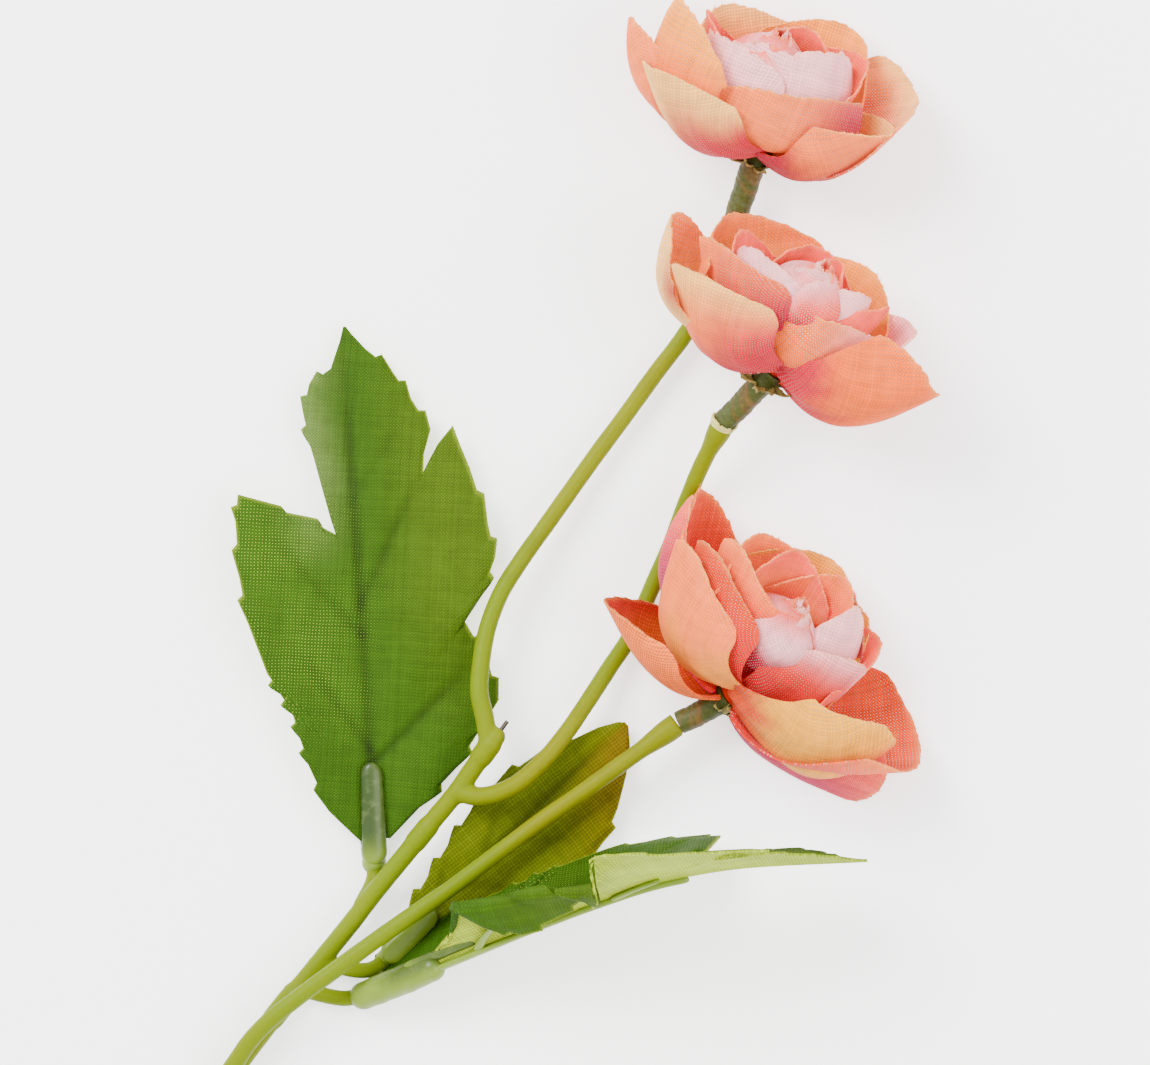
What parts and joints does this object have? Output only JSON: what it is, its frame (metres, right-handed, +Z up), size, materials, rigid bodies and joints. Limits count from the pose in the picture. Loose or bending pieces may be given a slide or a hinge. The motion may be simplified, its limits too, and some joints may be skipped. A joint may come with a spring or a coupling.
{
  "type": "artificial ranunculus spray",
  "caption": "Cut flower spray lying on its side: layered woven-fabric ranunculus blooms on a forked moulded stem, with toothed fabric leaves in clip-on holders.",
  "frame": {"origin": "middle of the bottom of the lying spray's box, on the surface that it lies on", "axes": "+Z up from the surface, +Y along the spray from the cut end of the stem to the uppermost bloom, +X to the side that the lowest bloom and the folded leaf are on"},
  "size_m": [0.1601, 0.2394, 0.047],
  "materials": {
    "stem": "yellow-green moulded plastic, satin",
    "wire": "bare dull steel wire",
    "petals": "woven polyester, peach dyed to pink-red at the root",
    "heart": "woven polyester, pale pink dyed to red at the root",
    "calyx": "dark green wound tube with ragged sepals",
    "leaf": "woven polyester printed green, open weave",
    "holder": "pale translucent green moulded plastic"
  },
  "bodies": {
    "root": {"main_stem": "stem", "stem_wire": "wire", "bloom_1_petals": "petals", "bloom_1_heart": "heart", "calyx_1": "calyx", "bloom_2_petals": "petals", "bloom_2_heart": "heart", "calyx_2": "calyx", "bloom_3_petals": "petals", "bloom_3_heart": "heart", "calyx_3": "calyx", "leaf_1_blade": "leaf", "leaf_1_holder": "holder", "leaf_2_blade": "leaf", "leaf_2_holder": "holder", "leaf_3_blade": "leaf", "leaf_3_holder": "holder"}
  },
  "joints": []
}
